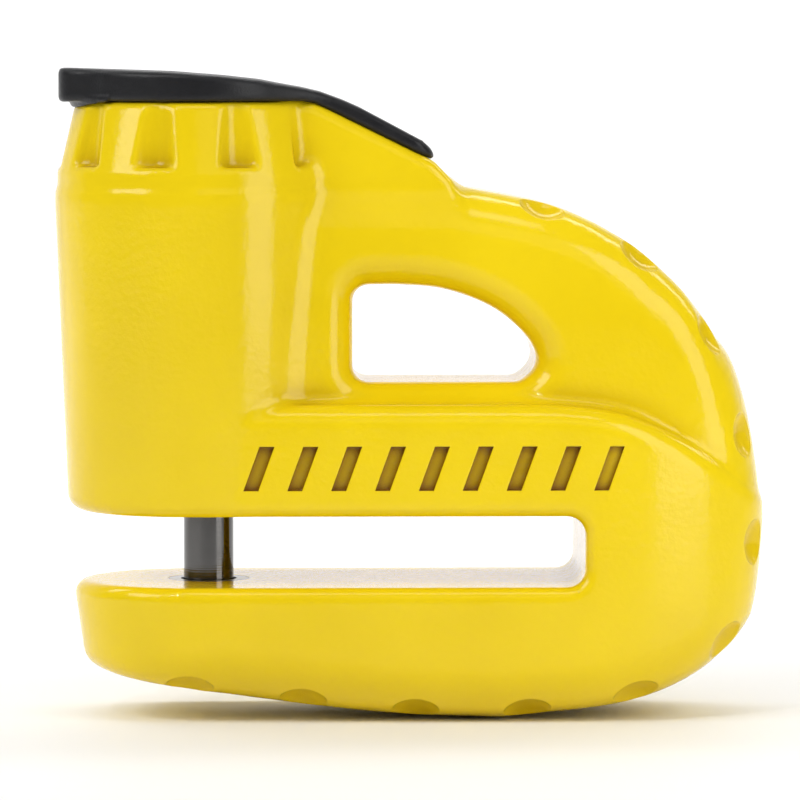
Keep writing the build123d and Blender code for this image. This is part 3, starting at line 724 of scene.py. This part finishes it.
def rubber_cover():
    grid = Grid((-16.0, -14.0, 37.0), (24.0, 14.0, 49.0), COVER_STEP)
    piece = grid.mesh(cover_field(grid.x, grid.y, grid.z), "rubber_cover")
    piece.data.materials.append(MATERIALS["cover_rubber"])
    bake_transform(piece)
    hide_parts("dust_flap", "dust_strap")


casting()
rubber_cover()
# every CAD node wears the material of its slot
for entry in frame["record"]["subparts"]:
    node = frame["nodes"][entry["node"]]
    node.data.materials.clear()
    node.data.materials.append(MATERIALS[entry["material_slot"]])

# ---- camera, light and floor ---------------------------------------------------------------------
LOOK_AT = Vector((19.15, 0, 14.3)) * MM
DISTANCE = 0.6
VIEW_WIDTH = 0.080  # what the picture spans at the object
SENSOR_WIDTH = 36
CAMERA_AZIMUTH = -1.5  # degrees, as for the lights
CAMERA_ELEVATION = 3.5
SOFTBOXES = [  # name, azimuth, elevation, distance, width, height, watts
    ("right_tall", 48, 20, 0.21, 0.10, 0.21, 0.21),
    ("left_back", -122, 8, 0.42, 0.24, 0.30, 0.08),
    ("top", 0, 66, 0.45, 0.28, 0.12, 0.30),
    ("left_high", -60, 33, 0.45, 0.24, 0.20, 0.80),
    ("front_fill", 15, 32, 0.9, 0.45, 0.4, 0.28),
    ("spark", -29, 45, 0.60, 0.02, 0.02, 0.45),
]
WALL_WASH = ("wall_wash", 180, 62, 0.45, 1.2, 0.25, 4.8)
WALL_WASH_TURN = math.radians(42)  # towards the backdrop
WORLD_STRENGTH = 0.12


def aimed(name, data, place):
    """A camera or light at place, turned towards the object."""
    item = bpy.data.objects.new(name, data)
    item.location = place
    item.rotation_euler = (LOOK_AT - Vector(place)).to_track_quat("-Z", "Y").to_euler()
    bpy.context.collection.objects.link(item)
    return item


def around(azimuth, elevation, distance):
    """A place round the object, in degrees; azimuth 0 is in front, towards -Y, and 90 on the right, +X."""
    a, e = math.radians(azimuth), math.radians(elevation)
    offset = Vector((math.sin(a) * math.cos(e), -math.cos(a) * math.cos(e), math.sin(e)))
    return LOOK_AT + distance * offset


def softbox(name, azimuth, elevation, distance, width, height, watts):
    light = bpy.data.lights.new(name, "AREA")
    light.shape = "RECTANGLE"
    light.size, light.size_y, light.energy = width, height, watts
    return aimed(name, light, around(azimuth, elevation, distance))


def camera():
    data = bpy.data.cameras.new("camera")
    data.sensor_width = SENSOR_WIDTH
    data.lens = data.sensor_width * DISTANCE / VIEW_WIDTH
    data.clip_start = 0.01
    place = around(CAMERA_AZIMUTH, CAMERA_ELEVATION, DISTANCE)
    bpy.context.scene.camera = aimed("camera", data, place)


def studio():
    for settings in SOFTBOXES:
        softbox(*settings)
    wash = softbox(*WALL_WASH)
    wash.rotation_euler = (WALL_WASH_TURN, 0, 0)
    world = bpy.data.worlds.new("studio")
    world.use_nodes = True
    bpy.context.scene.world = world
    background = world.node_tree.nodes["Background"]
    background.inputs["Color"].default_value = (1, 1, 1, 1)
    background.inputs["Strength"].default_value = WORLD_STRENGTH
    bpy.context.scene.view_settings.view_transform = "Standard"


def floor():
    """A pale floor that curves up into a backdrop behind the object."""
    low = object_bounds()[0][2] - 0.0002
    half_w, near, far, bend, high = 1.6, -1.2, 0.45, 0.35, 1.5  # metres
    line = [(near, 0.0), (far, 0.0)]
    for t in np.linspace(0.05, math.pi / 2, 24):
        line.append((far + bend * math.sin(t), bend * (1 - math.cos(t))))
    line.append((far + bend, high))
    mesh = bpy.data.meshes.new("floor")
    places = [(x, y, low + z) for y, z in line for x in (-half_w, half_w)]
    faces = [(2 * i, 2 * i + 1, 2 * i + 3, 2 * i + 2) for i in range(len(line) - 1)]
    mesh.from_pydata(places, [], faces)
    mesh.shade_smooth()
    piece = bpy.data.objects.new("floor", mesh)
    piece.data.materials.append(pale_floor())
    bpy.context.collection.objects.link(piece)
    piece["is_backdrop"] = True


camera()
studio()
floor()
